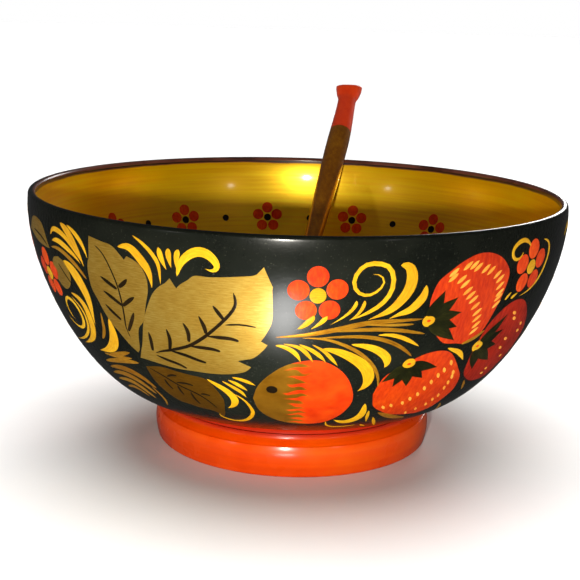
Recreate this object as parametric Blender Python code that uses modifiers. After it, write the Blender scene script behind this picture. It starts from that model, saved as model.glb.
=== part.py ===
"""Painted wooden bowl on a turned foot, with the wooden spoon that leans in it.

Metres, +Z up. The origin is the centre of the foot's bottom face. The spoon leans against the rim
on the +Y side. The bowl and the foot are turned, so each is a profile swept round the Z axis. The
spoon is carved: a hollowed ellipsoid and a swept, slightly bowed handle joined into one solid.
"""

import math

import bmesh
import bpy
import numpy as np
from mathutils import Matrix, Vector

# Bowl: the outer wall is one cubic curve, given by its two ends and its two pulls, as (radius, height).
BOWL_HEIGHT = 0.0975
WALL_START = (0.0540, 0.0195)
WALL_PULL_OUT = (0.0806, 0.0197)
WALL_PULL_UP = (0.1046, 0.0715)
LIP_OUTER_RADIUS = 0.1020
LIP_ROUND = 0.0014
WALL_BASE_THICKNESS = 0.0050
FLOOR_DISH = 0.0015

# Foot and the glued joint above it.
FOOT_REST_RADIUS = 0.0522
FOOT_BELLY_RADIUS = 0.0541
FOOT_RIDGE_RADIUS = 0.0533
FOOT_RIDGE_HEIGHT = 0.0119
FOOT_EDGE_ROUND = 0.0012
RIDGE_STEP = 0.0006
NECK_RADIUS = 0.0505
SEAM_HEIGHT = 0.0156
SPIGOT_RADIUS = 0.0300
SPIGOT_HEIGHT = 0.0030
GAP = 0.0003

# Spoon, in its own frame: X across, Y from the tip to the handle's end, Z up out of the hollow.
SCOOP_HALF_WIDTH = 0.0215
SCOOP_HALF_LENGTH = 0.0300
SCOOP_DEPTH = 0.0140
SCOOP_WALL = 0.0024
HANDLE_LENGTH = 0.1254
HANDLE_RISE = math.radians(14)
HANDLE_BOW = 0.0016
NECK_HALF_THICKNESS = 0.0034
GRIP_HALF_THICKNESS = 0.00515
WAIST_HALF_THICKNESS = 0.0043
KNOB_HALF_THICKNESS = 0.0063
NECK_BACK = 0.0277
NECK_DROP = 0.0020
GRIP_AT = 0.0846
WAIST_AT = 0.1136
KNOB_AT = 0.1206

# Where the spoon lies: its handle crosses the rim here, leaning back and turned a little to +X.
LEAN_POINT = (0.0176, 0.0988, 0.1048)
LEAN_ELEVATION = math.radians(39.2)
LEAN_TURN = math.radians(13.6)
END_CUT_HEIGHT = 0.1300
END_CUT_TILT = math.radians(10)

TURNING_STEPS = 64
SCOOP_SEGMENTS = 32
SCOOP_RINGS = 20
WELD_DISTANCE = 0.00001
WALL_STEPS = 13
ARC_STEPS = 5
HANDLE_POINTS = 34
HANDLE_SIDES_RESOLUTION = 6
SMOOTH_ANGLE = math.radians(40)


def clear_scene():
    """Remove every object of the starting scene."""
    for old in list(bpy.data.objects):
        bpy.data.objects.remove(old, do_unlink=True)


def make_collection(name, hidden):
    """A collection under the scene; a hidden one is left out of renders."""
    made = bpy.data.collections.new(name)
    made.hide_render = hidden
    bpy.context.scene.collection.children.link(made)
    return made


def make_material(name, colour, roughness, metallic):
    """A plain Principled material."""
    made = bpy.data.materials.new(name)
    made.use_nodes = True
    shader = made.node_tree.nodes["Principled BSDF"]
    shader.inputs["Base Color"].default_value = (*colour, 1.0)
    shader.inputs["Roughness"].default_value = roughness
    shader.inputs["Metallic"].default_value = metallic
    return made


def cubic(p0, p1, p2, p3, steps):
    """Points of a cubic curve from p0 to p3 with the pulls p1 and p2."""
    t = np.linspace(0.0, 1.0, steps + 1)[:, None]
    p0, p1, p2, p3 = (np.array(p) for p in (p0, p1, p2, p3))
    return (1 - t) ** 3 * p0 + 3 * (1 - t) ** 2 * t * p1 + 3 * (1 - t) * t**2 * p2 + t**3 * p3


def outward(points):
    """Unit vectors square to an outline of (radius, height) points, pointing away from the axis."""
    along = np.gradient(points, axis=0)
    square = np.stack([along[:, 1], -along[:, 0]], axis=1)
    return square / np.linalg.norm(square, axis=1, keepdims=True)


def arc(centre, radius, start, end, steps=ARC_STEPS):
    """Points on a round stretch of an outline, from one angle to the other."""
    angle = np.linspace(start, end, steps + 1)
    return np.stack([centre[0] + radius * np.cos(angle), centre[1] + radius * np.sin(angle)], axis=1)


def lean_of_wall_top():
    """Angle of the outer wall's outward direction at the lip, above the horizontal."""
    lean = 0.0
    for _ in range(4):
        top = wall_top(lean)
        lean = math.atan2(WALL_PULL_UP[0] - top[0], top[1] - WALL_PULL_UP[1])
    return lean


def wall_top(lean):
    """Where the outer wall meets the lip's round edge."""
    centre_radius = LIP_OUTER_RADIUS - LIP_ROUND
    centre_height = BOWL_HEIGHT - LIP_ROUND
    return (
        centre_radius + LIP_ROUND * math.cos(lean),
        centre_height + LIP_ROUND * math.sin(lean),
    )


def bowl_outline():
    """The bowl's section, from the middle of the floor round the lip and under to the socket."""
    lean = lean_of_wall_top()
    outer = cubic(WALL_START, WALL_PULL_OUT, WALL_PULL_UP, wall_top(lean), WALL_STEPS)
    thickness = np.linspace(WALL_BASE_THICKNESS, 2 * LIP_ROUND, len(outer))[:, None]
    inner = outer - outward(outer) * thickness
    lip_centre = (LIP_OUTER_RADIUS - LIP_ROUND, BOWL_HEIGHT - LIP_ROUND)
    lip = arc(lip_centre, LIP_ROUND, lean + math.pi, lean, 2 * ARC_STEPS)
    dish_radius = np.linspace(0.0, inner[0, 0], ARC_STEPS)[:-1]
    dish_height = inner[0, 1] - FLOOR_DISH * (1 - (dish_radius / inner[0, 0]) ** 2)
    floor = np.stack([dish_radius, dish_height], axis=1)
    cove_round = WALL_START[0] - NECK_RADIUS
    cove_centre = (WALL_START[0], WALL_START[1] - cove_round)
    cove = arc(cove_centre, cove_round, math.pi / 2, math.pi)
    seam = SEAM_HEIGHT + GAP / 2
    socket = seam + SPIGOT_HEIGHT + GAP
    base = [
        (NECK_RADIUS, seam),
        (SPIGOT_RADIUS + GAP, seam),
        (SPIGOT_RADIUS + GAP, socket),
        (0.0, socket),
    ]
    return np.concatenate([floor, inner[:-1], lip, outer[::-1][1:], cove[1:], base])


def foot_outline():
    """The foot's section, from the spigot's middle over the cove and the ridge to the rest face."""
    seam = SEAM_HEIGHT - GAP / 2
    spigot = [(0.0, seam + SPIGOT_HEIGHT), (SPIGOT_RADIUS, seam + SPIGOT_HEIGHT), (SPIGOT_RADIUS, seam)]
    shoulder = (FOOT_RIDGE_RADIUS - RIDGE_STEP, FOOT_RIDGE_HEIGHT)
    cove_pull = (NECK_RADIUS, (seam + shoulder[1]) / 2)
    cove = cubic((NECK_RADIUS, seam), cove_pull, cove_pull, shoulder, ARC_STEPS)
    ridge = (FOOT_RIDGE_RADIUS, FOOT_RIDGE_HEIGHT)
    edge_start = (FOOT_REST_RADIUS + FOOT_EDGE_ROUND, FOOT_EDGE_ROUND)
    belly_pull_up = (FOOT_BELLY_RADIUS + FOOT_EDGE_ROUND / 2, FOOT_RIDGE_HEIGHT * 2 / 3)
    belly_pull_down = (FOOT_BELLY_RADIUS, FOOT_RIDGE_HEIGHT / 3)
    belly = cubic(ridge, belly_pull_up, belly_pull_down, edge_start, ARC_STEPS)
    edge = arc((FOOT_REST_RADIUS, FOOT_EDGE_ROUND), FOOT_EDGE_ROUND, 0.0, -math.pi / 2)
    return np.concatenate([spigot, cove, belly, edge[1:], [(0.0, 0.0)]])


def turned(name, outline, collection, material):
    """A turned piece: the outline swept once round the Z axis."""
    mesh = bpy.data.meshes.new(name)
    corners = [(float(radius), 0.0, float(height)) for radius, height in outline]
    edges = [(i, i + 1) for i in range(len(corners) - 1)]
    mesh.from_pydata(corners, edges, [])
    piece = bpy.data.objects.new(name, mesh)
    collection.objects.link(piece)
    screw = piece.modifiers.new("turning", "SCREW")
    screw.axis = "Z"
    screw.angle = 2 * math.pi
    screw.steps = TURNING_STEPS
    screw.render_steps = TURNING_STEPS
    screw.use_merge_vertices = True
    screw.merge_threshold = WELD_DISTANCE
    screw.use_smooth_shade = True
    mesh.materials.append(material)
    return piece


def link_primitive(name, collection, material=None):
    """Name the primitive that was just made and move it to its collection."""
    piece = bpy.context.active_object
    piece.name = name
    piece.data.name = name
    for held_by in list(piece.users_collection):
        held_by.objects.unlink(piece)
    collection.objects.link(piece)
    if material:
        piece.data.materials.append(material)
    return piece


def ellipsoid(name, half_sizes, collection, material=None):
    """An ellipsoid at the origin, its half sizes put into the mesh."""
    bpy.ops.mesh.primitive_uv_sphere_add(segments=SCOOP_SEGMENTS, ring_count=SCOOP_RINGS, radius=1.0)
    piece = link_primitive(name, collection, material)
    piece.data.transform(Matrix.Diagonal((*half_sizes, 1.0)))
    return piece


def block(name, size, matrix, collection):
    """A box of the given size, centred on the matrix's origin."""
    bpy.ops.mesh.primitive_cube_add(size=1.0)
    piece = link_primitive(name, collection)
    piece.data.transform(Matrix.Diagonal((*size, 1.0)))
    piece.matrix_world = matrix
    return piece


def as_cutter(piece):
    """Mark a helper that only cuts or joins."""
    piece.hide_render = True
    piece.display_type = "WIRE"
    return piece


def half_thickness(along):
    """Half the handle's thickness at a distance along it: neck, grip, waist and knob in turn."""
    stations = [0.0, GRIP_AT, WAIST_AT, KNOB_AT, HANDLE_LENGTH]
    halves = [
        NECK_HALF_THICKNESS,
        GRIP_HALF_THICKNESS,
        WAIST_HALF_THICKNESS,
        KNOB_HALF_THICKNESS,
        KNOB_HALF_THICKNESS,
    ]
    place = np.searchsorted(stations, along, side="right") - 1
    place = min(max(int(place), 0), len(stations) - 2)
    share = (along - stations[place]) / (stations[place + 1] - stations[place])
    eased = share * share * (3 - 2 * share)
    return halves[place] + (halves[place + 1] - halves[place]) * eased


def handle_mesh(name, collection):
    """The handle as a closed mesh: a bowed centre line with a round section of changing thickness."""
    curve = bpy.data.curves.new(name + "_line", "CURVE")
    curve.dimensions = "3D"
    curve.bevel_depth = 1.0
    curve.bevel_resolution = HANDLE_SIDES_RESOLUTION
    curve.use_fill_caps = True
    spline = curve.splines.new("POLY")
    spline.points.add(HANDLE_POINTS - 1)
    for point, share in zip(spline.points, np.linspace(0.0, 1.0, HANDLE_POINTS)):
        along = HANDLE_LENGTH * float(share)
        bow = -HANDLE_BOW * max(0.0, (along - GRIP_AT) / (HANDLE_LENGTH - GRIP_AT)) ** 2
        point.co = (
            bow,
            NECK_BACK + along * math.cos(HANDLE_RISE),
            along * math.sin(HANDLE_RISE) - NECK_DROP,
            1.0,
        )
        point.radius = half_thickness(along)
    line = bpy.data.objects.new(name + "_line", curve)
    collection.objects.link(line)
    bpy.context.view_layer.update()
    mesh = bpy.data.meshes.new_from_object(line.evaluated_get(bpy.context.evaluated_depsgraph_get()))
    bpy.data.objects.remove(line)
    work = bmesh.new()
    work.from_mesh(mesh)
    bmesh.ops.remove_doubles(work, verts=work.verts, dist=WELD_DISTANCE)
    bmesh.ops.recalc_face_normals(work, faces=work.faces)
    work.to_mesh(mesh)
    work.free()
    piece = bpy.data.objects.new(name, mesh)
    collection.objects.link(piece)
    return piece


def lean_matrix():
    """Place of the spoon's own frame in the world, found from where the handle crosses the rim."""
    spoon_tilt = Matrix.Rotation(-LEAN_TURN, 4, "Z") @ Matrix.Rotation(LEAN_ELEVATION - HANDLE_RISE, 4, "X")
    crossing = Vector(
        (
            0.0,
            NECK_BACK + GRIP_AT * math.cos(HANDLE_RISE),
            GRIP_AT * math.sin(HANDLE_RISE) - NECK_DROP,
        )
    )
    return Matrix.Translation(Vector(LEAN_POINT) - spoon_tilt @ crossing) @ spoon_tilt


def add_boolean(piece, other, operation):
    """Cut or join another solid."""
    step = piece.modifiers.new(other.name, "BOOLEAN")
    step.operation = operation
    step.solver = "EXACT"
    step.object = other


def make_spoon(parts, cutters, material):
    """The carved spoon: a hollowed scoop with its handle joined on and its end cut on the slant."""
    place = lean_matrix()
    spoon = ellipsoid("spoon", (SCOOP_HALF_WIDTH, SCOOP_HALF_LENGTH, SCOOP_DEPTH), parts, material)
    spoon.matrix_world = place
    above = Matrix.Translation((0.0, 0.0, SCOOP_DEPTH))
    over_size = (SCOOP_HALF_LENGTH * 3, SCOOP_HALF_LENGTH * 3, SCOOP_DEPTH * 2)
    over_rim = as_cutter(block("over_scoop", over_size, place @ above, cutters))
    hollow_sizes = (SCOOP_HALF_WIDTH - SCOOP_WALL, SCOOP_HALF_LENGTH - SCOOP_WALL, SCOOP_DEPTH - SCOOP_WALL)
    hollow = as_cutter(ellipsoid("scoop_hollow", hollow_sizes, cutters))
    hollow.matrix_world = place
    handle = as_cutter(handle_mesh("spoon_handle", cutters))
    handle.matrix_world = place
    cut_turn = Matrix.Rotation(-END_CUT_TILT, 4, "X")
    cut_size = (HANDLE_LENGTH, HANDLE_LENGTH, HANDLE_LENGTH)
    cut_middle = Matrix.Translation((0.0, HANDLE_LENGTH, END_CUT_HEIGHT))
    lift = Matrix.Translation((0.0, 0.0, HANDLE_LENGTH / 2))
    end_cut = as_cutter(block("end_cut", cut_size, cut_middle @ cut_turn @ lift, cutters))
    add_boolean(spoon, over_rim, "DIFFERENCE")
    add_boolean(spoon, hollow, "DIFFERENCE")
    add_boolean(spoon, handle, "UNION")
    add_boolean(spoon, end_cut, "DIFFERENCE")
    spoon.data.shade_smooth()
    spoon.data.set_sharp_from_angle(angle=SMOOTH_ANGLE)
    return spoon


def main():
    """Clear the scene and build the three pieces."""
    clear_scene()
    parts = make_collection("khokhloma_bowl", False)
    cutters = make_collection("cutters", True)
    black_lacquer = make_material("black_and_gold_lacquer", (0.012, 0.012, 0.010), 0.28, 0.0)
    vermilion = make_material("vermilion_lacquer", (0.75, 0.09, 0.01), 0.22, 0.0)
    bronze = make_material("bronze_gold_lacquer", (0.36, 0.19, 0.04), 0.30, 0.4)
    turned("bowl_body", bowl_outline(), parts, black_lacquer)
    turned("foot", foot_outline(), parts, vermilion)
    make_spoon(parts, cutters, bronze)


main()
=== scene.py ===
# %% [markdown]
# # A khokhloma bowl and its spoon
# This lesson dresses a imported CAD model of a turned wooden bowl. The bowl is lacquered black outside and
# gold inside, and its flowers, berries and leaves are laid on with a soft brush. Each brush stroke is made
# here as a very thin raised skin of paint on the wall, so the picture is real geometry and not a texture.

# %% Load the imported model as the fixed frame
import math

import bmesh
import bpy
import numpy as np
from mathutils import Matrix, Vector


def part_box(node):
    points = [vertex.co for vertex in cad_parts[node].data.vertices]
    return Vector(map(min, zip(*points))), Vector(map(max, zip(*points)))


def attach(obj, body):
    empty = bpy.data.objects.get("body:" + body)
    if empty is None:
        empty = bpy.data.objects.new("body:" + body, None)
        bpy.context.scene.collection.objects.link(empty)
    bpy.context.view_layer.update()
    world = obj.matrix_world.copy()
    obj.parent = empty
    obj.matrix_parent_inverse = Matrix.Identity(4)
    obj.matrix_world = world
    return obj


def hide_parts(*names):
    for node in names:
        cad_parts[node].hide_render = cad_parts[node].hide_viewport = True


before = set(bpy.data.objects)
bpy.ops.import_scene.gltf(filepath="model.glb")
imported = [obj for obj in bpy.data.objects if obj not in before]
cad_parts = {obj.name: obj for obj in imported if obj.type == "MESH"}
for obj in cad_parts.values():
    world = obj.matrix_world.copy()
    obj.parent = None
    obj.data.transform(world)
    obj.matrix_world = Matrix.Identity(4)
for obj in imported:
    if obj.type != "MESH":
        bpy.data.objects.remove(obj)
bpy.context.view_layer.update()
bowl_low, bowl_high = (np.array(corner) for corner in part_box("bowl_body"))
foot_low, foot_high = (np.array(corner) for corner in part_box("foot"))
spoon_low, spoon_high = (np.array(corner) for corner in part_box("spoon"))
MM = 0.001
print("bowl", np.round((bowl_high - bowl_low) / MM, 2), "mm along X, Y and Z")
print("foot", np.round((foot_high - foot_low) / MM, 2), "mm")
print("spoon", np.round((spoon_high - spoon_low) / MM, 2), "mm")

# %% [markdown]
# ## Camera
# The camera stands a little above the rim, level enough to see the painted wall and the far half of the
# gold inside. A long lens keeps the bowl's round shape calm. `to_track_quat` aims it, and a small roll
# follows the way the bowl was stood.

# %% Camera
LENS_MM = 74.4
CAMERA_PLACE = Vector((0.0, -0.4588, 0.1633))
CAMERA_AIM = Vector((-0.0021, 0.0, 0.0572))
CAMERA_ROLL = math.radians(1.6)


def make_camera():
    """A camera whose -Z axis points from its place to its aim, turned about that axis by the roll."""
    lens = bpy.data.cameras.new("camera")
    lens.lens = LENS_MM
    lens.sensor_width = 36.0
    lens.clip_start = 0.01
    camera = bpy.data.objects.new("camera", lens)
    bpy.context.scene.collection.objects.link(camera)
    turn = (CAMERA_AIM - CAMERA_PLACE).to_track_quat("-Z", "Y").to_matrix().to_4x4()
    camera.matrix_world = Matrix.Translation(CAMERA_PLACE) @ turn @ Matrix.Rotation(CAMERA_ROLL, 4, "Z")
    bpy.context.scene.camera = camera
    return camera


camera = make_camera()
print("camera right", [round(x, 4) for x in camera.matrix_world.col[0][:3]])

# %% [markdown]
# ## Node helpers
# A material is a small graph of nodes. `wire` adds one node and fills its inputs: a number or colour goes
# into the socket, and another node's output is linked to it. The recipes further down then read like a list.

# %% Node helpers


def colour(red, green, blue):
    """A screen colour, 0 to 255 for each channel, as the linear values that shaders work in."""
    screen = np.array([red, green, blue]) / 255.0
    linear = np.where(screen <= 0.04045, screen / 12.92, ((screen + 0.055) / 1.055) ** 2.4)
    return (*[float(value) for value in linear], 1.0)


def wire(tree, kind, inputs=None, **settings):
    """Add a node, set its properties, and fill or link its inputs by name or number."""
    made = tree.nodes.new("ShaderNode" + kind)
    for name, value in settings.items():
        setattr(made, name, value)
    for name, value in (inputs or {}).items():
        if isinstance(value, bpy.types.NodeSocket):
            tree.links.new(value, made.inputs[name])
        else:
            made.inputs[name].default_value = value
    return made


def ramp(tree, share, stops):
    """A colour ramp: stops are (position, colour) pairs, and share is the 0 to 1 value that looks them up."""
    made = wire(tree, "ValToRGB", {"Fac": share})
    band = made.color_ramp
    while len(band.elements) < len(stops):
        band.elements.new(0.5)
    for element, (place, tint) in zip(band.elements, stops):
        element.position = place
        element.color = tint
    return made.outputs["Color"]


def level(tree, value, low, high, to_low=0.0, to_high=1.0):
    """Map a value from one range to another and clamp it."""
    made = wire(
        tree,
        "MapRange",
        {"Value": value, "From Min": low, "From Max": high, "To Min": to_low, "To Max": to_high},
    )
    return made.outputs["Result"]


def tinted(tree, share, spread, *screen_colours):
    """Screen colours at even stops, from spread below the middle of the share to spread above it."""
    stops = np.linspace(0.5 - spread, 0.5 + spread, len(screen_colours))
    return ramp(tree, share, [(stop, colour(*tint)) for stop, tint in zip(stops, screen_colours)])


def blend_of(tree, share, first, second):
    """Mix two colours, each a constant or the output of another node."""
    made = wire(tree, "Mix", {0: share, 6: first, 7: second}, data_type="RGBA")
    return made.outputs[2]


def sums(tree, operation, first, second=0.0):
    """One step of arithmetic on two values."""
    return wire(tree, "Math", {0: first, 1: second}, operation=operation).outputs[0]


def weighted(tree, first, first_weight, second, second_weight):
    """Two patterns added together, each times its weight."""
    first_part = sums(tree, "MULTIPLY", first, first_weight)
    return sums(tree, "ADD", first_part, sums(tree, "MULTIPLY", second, second_weight))


def grain(tree, place, scale, detail=3.0, roughness=0.5, distortion=0.0):
    """Smooth noise, 0 to 1, at so many blobs per unit of the place it reads."""
    made = wire(
        tree,
        "TexNoise",
        {"Vector": place, "Scale": scale, "Detail": detail, "Roughness": roughness, "Distortion": distortion},
    )
    return made.outputs["Fac"]


def stretched(tree, place, factors):
    """The same place with each axis scaled on its own, which draws noise out into streaks."""
    return wire(tree, "Mapping", {"Vector": place, "Scale": factors}).outputs["Vector"]


def object_place(tree):
    """Place on the object, in metres."""
    return wire(tree, "TexCoord").outputs["Object"]


def brush_place(tree):
    """Place on a brush mark: its own UV map, whose unit is ten map degrees."""
    return wire(tree, "UVMap", uv_map="brush").outputs["UV"]


def lot_number(tree):
    """A number from 0 to 1 that each brush mark carries, so that no two have quite the same paint."""
    return wire(tree, "Attribute", attribute_name="lot").outputs["Fac"]


def new_material(name, **constants):
    """A Principled material with its plain numbers set on the shader's own sockets."""
    made = bpy.data.materials.new(name)
    made.use_nodes = True
    shader = made.node_tree.nodes["Principled BSDF"]
    for socket, value in constants.items():
        shader.inputs[socket.replace("_", " ")].default_value = value
    return made, made.node_tree, shader


def feed(tree, shader, **sources):
    """Link other nodes' outputs to the shader's sockets, named with _ for a space."""
    for socket, source in sources.items():
        tree.links.new(source, shader.inputs[socket.replace("_", " ")])


def bump(tree, shader, height, strength, depth):
    """Feed a height pattern into the shader's normal; depth is the height of a full step in metres."""
    made = wire(tree, "Bump", {"Height": height, "Strength": strength, "Distance": depth})
    tree.links.new(made.outputs["Normal"], shader.inputs["Normal"])


# %% [markdown]
# ## Floor, lights and the studio
# A pale floor and soft lights show the lacquer. A small warm key near the lens gives the far inside wall its
# bright upper band above the shadow of the near rim. Two lamps at the sides and a wider one behind touch the
# rim. A broad ceiling light fills the upper faces, and a second one lights only the floor. An oval light
# that lies in front of the bowl stands in for the patch that the key makes bright on a shiny table top. The
# world is a dim grey to light by, so that the black lacquer keeps its depth, and the lens sees it pale.

# %% Floor
FLOOR_RADIUS = 12.0


def make_floor():
    """One round face at height 0, wide enough to reach the horizon."""
    angle = np.linspace(0.0, 2 * np.pi, 96, endpoint=False)
    ring = np.stack([FLOOR_RADIUS * np.cos(angle), FLOOR_RADIUS * np.sin(angle), 0 * angle], axis=1)
    mesh = bpy.data.meshes.new("floor")
    mesh.from_pydata(ring.tolist(), [], [list(range(len(ring)))])
    floor = bpy.data.objects.new("floor", mesh)
    bpy.context.scene.collection.objects.link(floor)
    made, tree, shader = new_material("floor_paper", Roughness=0.85, Specular_IOR_Level=0.2)
    tone = grain(tree, object_place(tree), 14.0, detail=4.0)
    paper = ramp(tree, tone, [(0.3, (0.86, 0.86, 0.86, 1)), (0.7, (0.9, 0.9, 0.89, 1))])
    feed(tree, shader, Base_Color=paper)
    mesh.materials.append(made)
    floor.visible_glossy = False
    return floor


floor = make_floor()


# %% Lights
def lights_only(light, pieces):
    """Light linking: this light reaches only the named pieces."""
    lit = bpy.data.collections.new(light.name + "_lights")
    for piece in pieces:
        lit.objects.link(piece)
    light.light_linking.receiver_collection = lit


def soft_light(name, place, aim, size, power, tint):
    """A square area light at a place, turned to face its aim."""
    data = bpy.data.lights.new(name, "AREA")
    data.shape = "SQUARE"
    data.size = size
    data.energy = power
    data.color = tint[:3]
    light = bpy.data.objects.new(name, data)
    bpy.context.scene.collection.objects.link(light)
    turn = (Vector(aim) - Vector(place)).to_track_quat("-Z", "Y").to_matrix().to_4x4()
    light.matrix_world = Matrix.Translation(place) @ turn
    return light


def broad_light(name, toward, power, spread_degrees):
    """A sun-type light with a wide disc, even out to the horizon."""
    data = bpy.data.lights.new(name, "SUN")
    data.energy = power
    data.angle = math.radians(spread_degrees)
    light = bpy.data.objects.new(name, data)
    bpy.context.scene.collection.objects.link(light)
    light.matrix_world = Vector(toward).to_track_quat("-Z", "Y").to_matrix().to_4x4()
    return light


GLEAM_PLACE = Vector((-0.009, -0.170, 0.003))
GLEAM_AIM = GLEAM_PLACE + Vector((0, 0.0001, 0.1))
GLEAM_SIZE = (0.034, 0.075)


def table_gleam(name, power):
    """An oval light that lies in front of the bowl and faces up, unseen by the lens."""
    light = soft_light(name, GLEAM_PLACE, GLEAM_AIM, GLEAM_SIZE[0], power, NEUTRAL)
    light.data.shape = "ELLIPSE"
    light.data.size_y = GLEAM_SIZE[1]
    light.visible_camera = False
    return light


WARM = (1.0, 0.95, 0.86)
NEUTRAL = (1.0, 0.99, 0.97)
BOWL_MIDDLE = (0.0, 0.0, 0.06)
# Each lamp is (name, place, size, power, tint).
LAMPS = [
    ("key", (-0.038, -0.50, 0.138), 0.014, 1.5, WARM),
    ("right_lamp", (0.45, -0.62, 0.25), 0.03, 0.13, NEUTRAL),
    ("left_lamp", (-0.60, -0.55, 0.22), 0.03, 0.13, NEUTRAL),
    ("back_lamp", (0.30, 0.75, 0.35), 0.25, 2.2, NEUTRAL),
]
for name, place, size, power, tint in LAMPS:
    soft_light(name, place, BOWL_MIDDLE, size, power, tint)
ceiling = broad_light("ceiling", (0.05, -0.25, -1.0), 0.40, 60.0)
ceiling.visible_glossy = False
lights_only(broad_light("floor_wash", (0.02, -0.10, -1.0), 3.3, 60.0), [floor])
table_gleam("table_gleam", 0.10)


def make_world(light_level, seen_level):
    """A dim grey world for light, and a pale one for the lens, told apart by the Light Path node."""
    world = bpy.data.worlds.new("studio")
    world.use_nodes = True
    tree = world.node_tree
    lit = tree.nodes["Background"]
    lit.inputs["Color"].default_value = (1, 1, 1, 1)
    lit.inputs["Strength"].default_value = light_level
    seen = wire(tree, "Background", {"Color": (1, 1, 1, 1), "Strength": seen_level})
    path = wire(tree, "LightPath")
    mixed = wire(
        tree,
        "MixShader",
        {0: path.outputs["Is Camera Ray"], 1: lit.outputs["Background"], 2: seen.outputs["Background"]},
    )
    tree.links.new(mixed.outputs["Shader"], tree.nodes["World Output"].inputs["Surface"])
    bpy.context.scene.world = world


make_world(0.06, 1.0)
bpy.context.scene.view_settings.view_transform = "Standard"

# %% [markdown]
# ## The turned sections
# A bowl comes off the lathe, so its shape is one outline swept round the axis. The outer wall is a single
# cubic curve from the cove above the foot to the lip. The wall is thickest at the bottom. The painted skin
# starts a hair inside the CAD surface, which leaves room for the raised brush marks.

# %% Outlines of the bowl and the foot
SKIN_INSET = 0.22 * MM
WALL = np.array([(0.0540, 0.0195), (0.0806, 0.0197), (0.1046, 0.0715)])
LIP_RADIUS = 0.1020
LIP_ROUND = 0.0014
THICK_AT_BASE = 0.0050
FLOOR_DISH = 0.0015
NECK_RADIUS = 0.0505
SEAM = 0.0156
SPIGOT = (0.0300, 0.0030)
GAP = 0.0003
WALL_STEPS = 120


def cubic(p0, p1, p2, p3, steps):
    """Points of a cubic curve from p0 to p3 with the pulls p1 and p2, as (radius, height)."""
    t = np.linspace(0.0, 1.0, steps + 1)[:, None]
    p0, p1, p2, p3 = (np.array(p) for p in (p0, p1, p2, p3))
    return (1 - t) ** 3 * p0 + 3 * (1 - t) ** 2 * t * p1 + 3 * (1 - t) * t**2 * p2 + t**3 * p3


def arc(centre, radius, start, end, steps):
    """Points round a centre from one angle to the other."""
    angle = np.linspace(start, end, steps + 1)
    return np.stack([centre[0] + radius * np.cos(angle), centre[1] + radius * np.sin(angle)], axis=1)


def outward(points):
    """Unit vectors square to an outline, away from the axis: the direction of travel turned by a quarter."""
    along = np.gradient(points, axis=0)
    square = np.stack([along[:, 1], -along[:, 0]], axis=1)
    return square / np.linalg.norm(square, axis=1, keepdims=True)


lip_centre = np.array([LIP_RADIUS - LIP_ROUND, bowl_high[2] - LIP_ROUND])
lean = 0.0
for _ in range(5):
    wall_top = lip_centre + LIP_ROUND * np.array([math.cos(lean), math.sin(lean)])
    lean = math.atan2(WALL[2, 0] - wall_top[0], wall_top[1] - WALL[2, 1])
cad_wall = cubic(*WALL, wall_top, WALL_STEPS)
wall_out = outward(cad_wall)
thickness = np.linspace(THICK_AT_BASE, 2 * LIP_ROUND, len(cad_wall))[:, None]
outer_wall = cad_wall - wall_out * SKIN_INSET * np.linspace(1.0, 0.3, len(cad_wall))[:, None]
inner_wall = cad_wall - wall_out * thickness
print("widest at", np.round(outer_wall[outer_wall[:, 0].argmax()] / MM, 2), "mm")

# %% [markdown]
# ## Turning an outline into a closed shell
# The surface is a function of two parameters: how far along the outline, and the angle round the axis. The
# outline starts and ends on the axis, so both ends close in a point once the doubled corners are merged.

# %% Turning
SEGMENTS = 240
TURNED_SHARP = 35
PAINT_SHARP = 60


def grid_faces(rows, around):
    """Quads between rows that are closed rings: corner (i, j) joins (i, j+1), (i+1, j+1) and (i+1, j)."""
    i, j = np.meshgrid(np.arange(rows - 1), np.arange(around), indexing="ij")
    here, beside = i * around + j, i * around + (j + 1) % around
    return np.stack([here, beside, beside + around, here + around], axis=-1).reshape(-1, 4)


def close_up(piece, sharp_degrees):
    """Merge doubled corners, point every face outwards, and shade smooth except at sharp edges."""
    work = bmesh.new()
    work.from_mesh(piece.data)
    bmesh.ops.remove_doubles(work, verts=work.verts, dist=1e-6)
    bmesh.ops.recalc_face_normals(work, faces=work.faces)
    work.to_mesh(piece.data)
    open_edges = sum(1 for edge in work.edges if not edge.is_manifold)
    work.free()
    piece.data.shade_smooth()
    piece.data.set_sharp_from_angle(angle=math.radians(sharp_degrees))
    print(f"{piece.name}: {len(piece.data.polygons)} faces, {open_edges} open edges")


def new_piece(name, corners, faces, materials, body):
    """A mesh object at the origin that rides on a body and takes its finish from a slot."""
    mesh = bpy.data.meshes.new(name)
    mesh.from_pydata(corners.tolist(), [], faces.tolist())
    for material in materials:
        mesh.materials.append(material)
    piece = bpy.data.objects.new(name, mesh)
    bpy.context.scene.collection.objects.link(piece)
    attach(piece, body)
    return piece


def turned(name, outline, finishes, body):
    """Sweep an outline once round the axis: (radius cos a, radius sin a, height).

    finishes are (rows, material) pairs in the outline's order.
    """
    angle = np.linspace(0.0, 2 * np.pi, SEGMENTS, endpoint=False)
    radius, height = outline[:, :1], outline[:, 1:]
    corners = np.stack([radius * np.cos(angle), radius * np.sin(angle), height + 0 * angle], axis=-1)
    faces = grid_faces(len(outline), SEGMENTS)
    piece = new_piece(name, corners.reshape(-1, 3), faces, [finish for _, finish in finishes], body)
    band = np.repeat(np.arange(len(finishes)), [rows for rows, _ in finishes])
    piece.data.polygons.foreach_set("material_index", np.repeat(band, SEGMENTS).astype(np.int32))
    close_up(piece, TURNED_SHARP)
    return piece


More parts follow.
